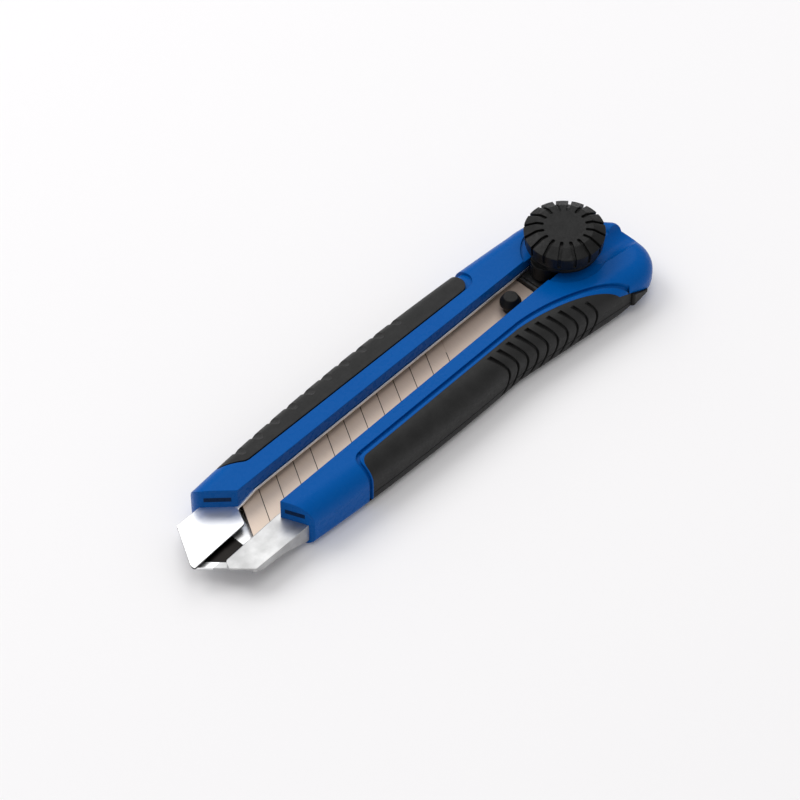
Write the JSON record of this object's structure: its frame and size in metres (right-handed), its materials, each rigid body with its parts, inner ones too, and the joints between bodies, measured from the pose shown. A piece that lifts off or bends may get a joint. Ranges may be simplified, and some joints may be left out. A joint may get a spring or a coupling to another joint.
{
  "type": "snap-off knife",
  "caption": "Snap-off utility knife with a steel blade channel, a soft-grip handle, a sliding segmented blade and a round screw-lock knob.",
  "frame": {"origin": "on the flat underside, below the blade's centre line and half way along the knife", "axes": "+X from the nose to the tail, +Y towards the back edge of the knife, +Z out of the knob side"},
  "size_m": [0.1779, 0.0447, 0.0252],
  "materials": {
    "blue_abs": "satin moulded ABS",
    "black_tpr": "matt soft-touch elastomer",
    "black_plastic": "fine matt moulded",
    "stainless": "polished pressed stainless steel",
    "blade_steel": "ground carbon tool steel",
    "carrier_metal": "zinc casting",
    "plated_steel": "bright zinc plated steel",
    "nut_brass": "turned"
  },
  "bodies": {
    "handle": {"handle_body": "blue_abs", "far_grip_insert": "black_tpr", "near_grip": "black_tpr", "tail_cap": "black_plastic", "back_cover": "black_plastic", "back_cover_screws": "plated_steel", "blade_channel": "stainless", "channel_rivets": "plated_steel", "end_stop_pin": "plated_steel"},
    "slider": {"blade": "blade_steel", "blade_carrier": "carrier_metal", "pressure_plate": "plated_steel", "locating_peg": "black_plastic", "clamp_bolt": "plated_steel", "knob_saddle": "black_plastic"},
    "washer": {"thrust_washer": "plated_steel"},
    "knob": {"lock_knob": "black_plastic", "knob_nut": "nut_brass"}
  },
  "joints": [
    {"name": "blade_slide", "type": "slide", "parent": "handle", "child": "slider", "axis": [-1, 0, 0], "range_m": [0, 0.095]},
    {"name": "knob_rise", "type": "slide", "parent": "slider", "child": "washer", "axis": [0, 0, 1], "range_m": [0, 0.002]},
    {"name": "knob_turn", "type": "hinge", "parent": "washer", "child": "knob", "pos_m": [0.0692, 0, 0.022], "axis": [0, 0, 1], "range_deg": [0, 720]}
  ],
  "couplings": [
    {"joint": "knob_rise", "follows": "knob_turn", "m_per_rad": 0.00015915}
  ]
}
